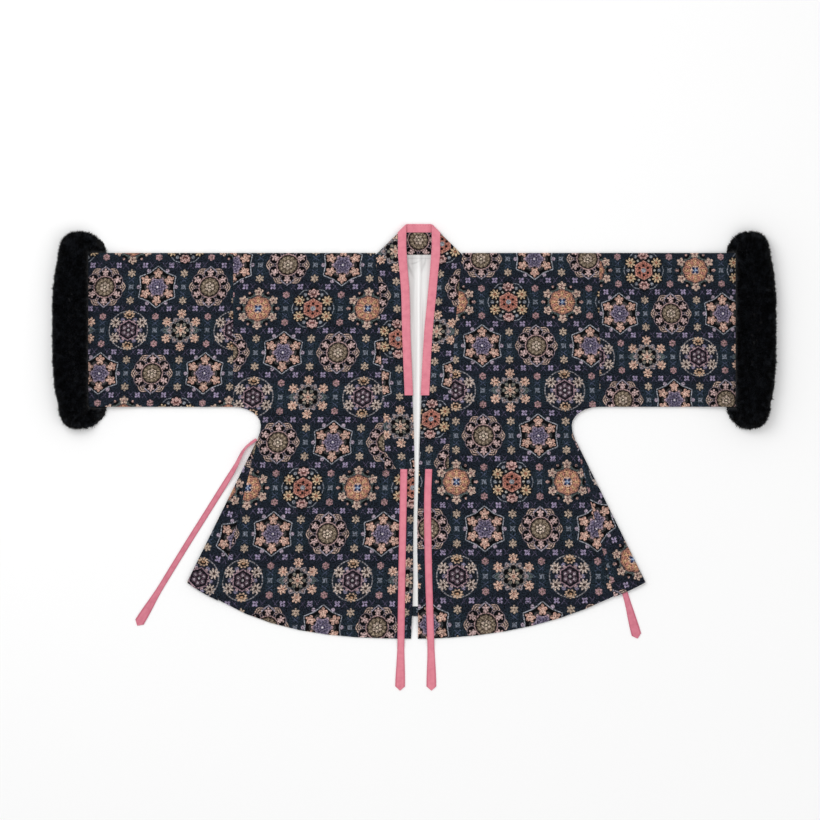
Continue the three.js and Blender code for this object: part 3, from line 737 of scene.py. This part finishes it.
# Two long rolls down the middle, a short curved one and one along the neck seam, on the lining's upper side
points = points_of(lining)
x, down = points[:, 0], LINING_TOP - SHOULDER - points[:, 1]
shown_half = np.maximum(0.026 - down * 0.055, 0.003)  # half of what shows between the two arms of the collar
middle = 1 - smooth_step(np.abs(x), shown_half * 0.5, shown_half)
rolls = np.exp(-(((x - 0.0053) / 0.0035) ** 2)) * 0.0016 - np.exp(-(((x + 0.01) / 0.004) ** 2)) * 0.0004
rolls += 0.0022 * np.exp(-((down - 0.021 + x * 0.4) / 0.004) ** 2) * np.exp(-((x / 0.013) ** 2))
rolls += 0.0012 * np.exp(-((down - 0.003) / 0.0025) ** 2)
points[:, 2] += middle * rolls * (points[:, 2] > np.median(points[:, 2]))
set_points(lining, points)
lining.data.materials.append(lining_white)

facing = cut_piece("back_hem_facing", "brocade_back_hem_facing", cuts=3, rim=0.0003)
lay_weave(facing, one_zone("body_left", True))
facing.data.materials.append(brocade)


# Ties: two long ribbons hang from the lower ends of the collar, one from the outside of the left side seam
# and one from the inside of the right one. Each ends in a point.
def mark_selvedges(ribbon):
    """Gives each point its place across the ribbon, from -1 at one selvedge to 1 at the other."""
    spots = points_of(ribbon)[:, :2]
    spots -= spots.mean(axis=0)
    lengthwise = np.linalg.svd(spots, full_matrices=False)[2][0]
    along, aside = spots @ lengthwise, spots @ (-lengthwise[1], lengthwise[0])
    stations = np.linspace(along.min(), along.max(), 25)
    near = np.abs(along[None, :] - stations[:, None]) < 0.015  # stations overlap, so each has points
    low = np.interp(along, stations, [aside[here].min() for here in near])
    high = np.interp(along, stations, [aside[here].max() for here in near])
    across = (2 * aside - low - high) / np.maximum(high - low, 0.001)
    ribbon.data.attributes.new("across", "FLOAT", "POINT").data.foreach_set("value", across)


side_ribbon = dye_ribbon("side_ribbon", paint("#d17a8b"), paint("#b65c70"))
ROOT, ROW = -0.427, 0.0018  # depth of the front ties' first row of stitches, and from one row to the next
for node, width, length, ribbon in (
    ("front_tie_left", 0.0135, 0.432, pink_ribbon),
    ("front_tie_right", 0.0135, 0.432, pink_ribbon),
    ("side_tie_left", 0.011, 0.434, side_ribbon),
    ("side_tie_right", 0.011, 0.395, side_ribbon),
):
    tie = cut_piece(node, f"pink_{node}", cuts=3, rim=0.0002)
    mark_selvedges(tie)
    tie.data.materials.append(ribbon)
    side = node.split("_")[-1]
    if "front" in node:
        places = []
        for low, high in edges_of(tie, ROOT):
            for x in np.arange(low + 0.002, high - 0.001, 0.0024):
                places += [(x, ROOT, 0.0), (x, ROOT - ROW, 0.0)]
        sew(f"sewing_{node}", places, tie, pink_thread)


# Hem sewing: the front hem is turned up inside and caught from within,
# so that a row of tiny navy stitches shows 24 mm above its edge.
navy_thread = sewing_thread("navy_thread", paint("#3a4666"), paint("#1d2539"))
TURNED_UP = 0.024
for node in ("body_left", "body_right", "gore_front_left", "gore_front_right"):
    cloth = bpy.data.objects[f"brocade_{node}"]
    low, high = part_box(node)
    places = []
    for x in np.arange(low[0] + 0.006, high[0] - 0.004, 0.009) - CENTRE:
        for depth in np.arange(-0.756, -0.6, 0.001):
            if look_down(cloth, x, depth)[0]:
                places.append((x, depth + TURNED_UP, 0.25 * x))
                break
    sew(f"sewing_hem_{node}", places, cloth, navy_thread)


# Fur cuffs: strips of black plush fur sewn into rings round the sleeve ends, pressed flat underneath.
# A dense body of underfur carries thousands of tapered hairs that gather in small tufts.
PILE = 0.013
HAIRS, HAIRS_IN_TUFT, GUARD_HAIRS = 57000, 30, 0.07  # guard hairs are the few that stand out of the pile
fur_black, surface, start = new_material(
    "black_fur", Specular_IOR_Level=0.25, Sheen_Weight=0.12, Sheen_Roughness=0.3, Sheen_Tint=paint("#8a93a8")
)
# Random patches of lighter hair: partly the hair's own tone, partly a painted sheen of the pile
cloud = start.place().noise(90.0, 3.0)
tint = start.painted(paint("#020203"), ((cloud - 0.47).capped(5), paint("#212429")))
wire(surface, Base_Color=tint, Roughness=0.42 + cloud * 0.2)


def outer_share(points):
    """1 on the pile's outside and 0 on the skin that lies against the sleeve."""
    x, y, z = points.T
    sleeve_top, sleeve_foot, sleeve_end = -0.003, -0.2989, 0.68
    beyond_edge = np.maximum(np.maximum(y - sleeve_top, sleeve_foot - y), 0)
    beyond_end = np.maximum(np.abs(x) - sleeve_end, 0)
    height = np.abs(z - BETWEEN_LAYERS - sleeve_rise(x))
    return smooth_step(np.sqrt(beyond_edge**2 + beyond_end**2 + height**2), 0.004, 0.008)


def grow_fur(cuff, depths, name, seed):
    """Tapered hairs from the underfur out to the pile's surface, leaning together in tufts."""
    chance = np.random.default_rng(seed)
    count = HAIRS
    mesh = cuff.data
    mesh.calc_loop_triangles()
    triangles = np.empty(len(mesh.loop_triangles) * 3, dtype=np.int64)
    mesh.loop_triangles.foreach_get("vertices", triangles)
    triangles = triangles.reshape(-1, 3)
    points = points_of(cuff)
    normals = np.empty(len(mesh.vertices) * 3)
    mesh.vertices.foreach_get("normal", normals)
    normals = normals.reshape(-1, 3)
    a, b, c = (points[triangles[:, k]] for k in range(3))
    centres = (a + b + c) / 3
    area = np.linalg.norm(np.cross(b - a, c - a), axis=1)
    area *= (outer_share(centres) > 0.25) & (centres[:, 2] > 0.002)
    chosen = chance.choice(len(area), size=count, p=area / area.sum())
    first, second = np.sqrt(chance.random(count)), chance.random(count)
    shares = np.stack([1 - first, first * (1 - second), first * second], axis=1)[:, :, None]
    tips = (points[triangles[chosen]] * shares).sum(axis=1)
    out = (normals[triangles[chosen]] * shares).sum(axis=1)
    out /= np.linalg.norm(out, axis=1)[:, None]
    pile = (depths[triangles[chosen]] * shares[:, :, 0]).sum(axis=1)
    tufts = chance.permutation(count)[: count // HAIRS_IN_TUFT]
    tree = KDTree(len(tufts))
    for k, tuft in enumerate(tufts):
        tree.insert(tips[tuft], k)
    tree.balance()
    nearest = tufts[[tree.find(tip)[1] for tip in tips]]

    # How far each tip stands above or below the pile's surface: hair by hair, tuft by tuft, and guard hairs
    height = chance.uniform(-0.5, 0.1, count) * pile
    height += (chance.random(count)[nearest] - 0.6) * 0.28 * pile
    height += np.where(chance.random(count) < GUARD_HAIRS, chance.uniform(0.05, 0.28, count), 0) * pile
    roots = tips - out * pile[:, None]

    # How the hairs lean along the surface: hair by hair, with their tuft, and in a slow swirl round the ring
    lean = chance.normal(0, 0.0012, (count, 3)) + chance.normal(0, 0.0018, (count, 3))[nearest]
    lean += (tips[nearest] - tips) * 0.35
    lean[:, 1] += 0.0035 * np.sin((tips[:, 1] + 0.15) / 0.17 * math.pi / 2)
    lean -= out * (lean * out).sum(axis=1)[:, None]
    ends = tips + out * height[:, None] + lean
    ends[:, 2] = np.maximum(ends[:, 2], 0.0004)
    middle = (roots + ends) / 2 + out * 0.0012
    width = chance.uniform(0.0004, 0.0009, count)[:, None]
    across = np.cross(out, chance.normal(0, 1, (count, 3)))
    across /= np.linalg.norm(across, axis=1)[:, None]
    root_side, middle_side = across * width, across * width * 0.8
    hair = [roots - root_side, roots + root_side, middle + middle_side, middle - middle_side, ends]
    hair = np.stack(hair, axis=1).reshape(-1, 3)
    hair[:, 2] = np.maximum(hair[:, 2], 0.0002)
    base = np.arange(count)[:, None] * 5
    faces = [list(quad) for quad in base + (0, 1, 2, 3)] + [list(end) for end in base + (3, 2, 4)]
    fur = bpy.data.objects.new(name, bpy.data.meshes.new(name))
    fur.data.from_pydata((hair + (CENTRE, SHOULDER, 0)).tolist(), [], faces)
    bpy.context.scene.collection.objects.link(fur)
    fur.data.materials.append(fur_black)
    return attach(fur, "root")


for side, seed in (("left", 5), ("right", 11)):
    cuff = cut_piece(f"fur_cuff_{side}", f"underfur_{side}", cuts=1)
    points = points_of(cuff)
    normals = np.array([point.normal for point in cuff.data.vertices])
    # The pile is PILE long, and shorter where the cuff is too thin for it
    depths = np.full(len(points), PILE)
    for k, (point, normal) in enumerate(zip(points + (CENTRE, SHOULDER, 0), normals)):
        hit, far_side, _, _ = cuff.ray_cast(point - normal * 0.0003, -normal)
        if hit:
            depths[k] = min(PILE, 0.45 * np.linalg.norm(np.array(far_side) - point))
    grow_fur(cuff, depths, f"fur_hair_{side}_a", seed)
    grow_fur(cuff, depths, f"fur_hair_{side}_b", seed + 1)
    points -= normals * (outer_share(points) * depths * 0.75)[:, None]
    points[:, 2] = np.maximum(points[:, 2], 0.0002)
    set_points(cuff, points)
    cuff.data.materials.append(fur_black)


# The surface it lies on, the light and the camera, which looks straight down as the photograph's did.
bpy.ops.object.select_all(action="DESELECT")
bpy.ops.mesh.primitive_plane_add(size=12, location=(0, 0, -0.0005))
floor = bpy.context.object
floor.name = "pale_floor"
floor.data.materials.append(new_material("pale_floor", Base_Color=paint("#f7f7f7"), Roughness=0.9)[0])

world = bpy.data.worlds.new("studio")
bpy.context.scene.world = world
world.use_nodes = True
sky = world.node_tree.nodes["Background"].inputs
sky["Color"].default_value, sky["Strength"].default_value = (1, 1, 1, 1), 0.7

for name, spot, size, power in (
    ("soft_box_high", (-1.6, 1.8, 3.2), 2.4, 60),
    ("soft_box_low", (2.0, -1.2, 3.4), 3.0, 25),
):
    lamp = bpy.data.lights.new(name, "AREA")
    lamp.energy, lamp.size = power, size
    holder = bpy.data.objects.new(name, lamp)
    holder.location = spot
    tilt = math.atan2(math.hypot(spot[0], spot[1]), spot[2])
    holder.rotation_euler = (tilt, 0, math.atan2(spot[1], spot[0]) + math.pi / 2)
    bpy.context.scene.collection.objects.link(holder)

FRAME_PIXELS, HEIGHT = 820, 14.0
camera = bpy.data.cameras.new("camera")
camera.sensor_width = 36
camera.lens = camera.sensor_width * HEIGHT / (FRAME_PIXELS * PIXEL)
camera.clip_end = 100
stand = bpy.data.objects.new("camera", camera)
stand.location = (
    CENTRE + (FRAME_PIXELS / 2 - CENTRE_PIXEL) * PIXEL,
    SHOULDER - (FRAME_PIXELS / 2 - SHOULDER_PIXEL) * PIXEL,
    HEIGHT,
)
bpy.context.scene.collection.objects.link(stand)
bpy.context.scene.camera = stand
bpy.context.scene.view_settings.view_transform = "Standard"
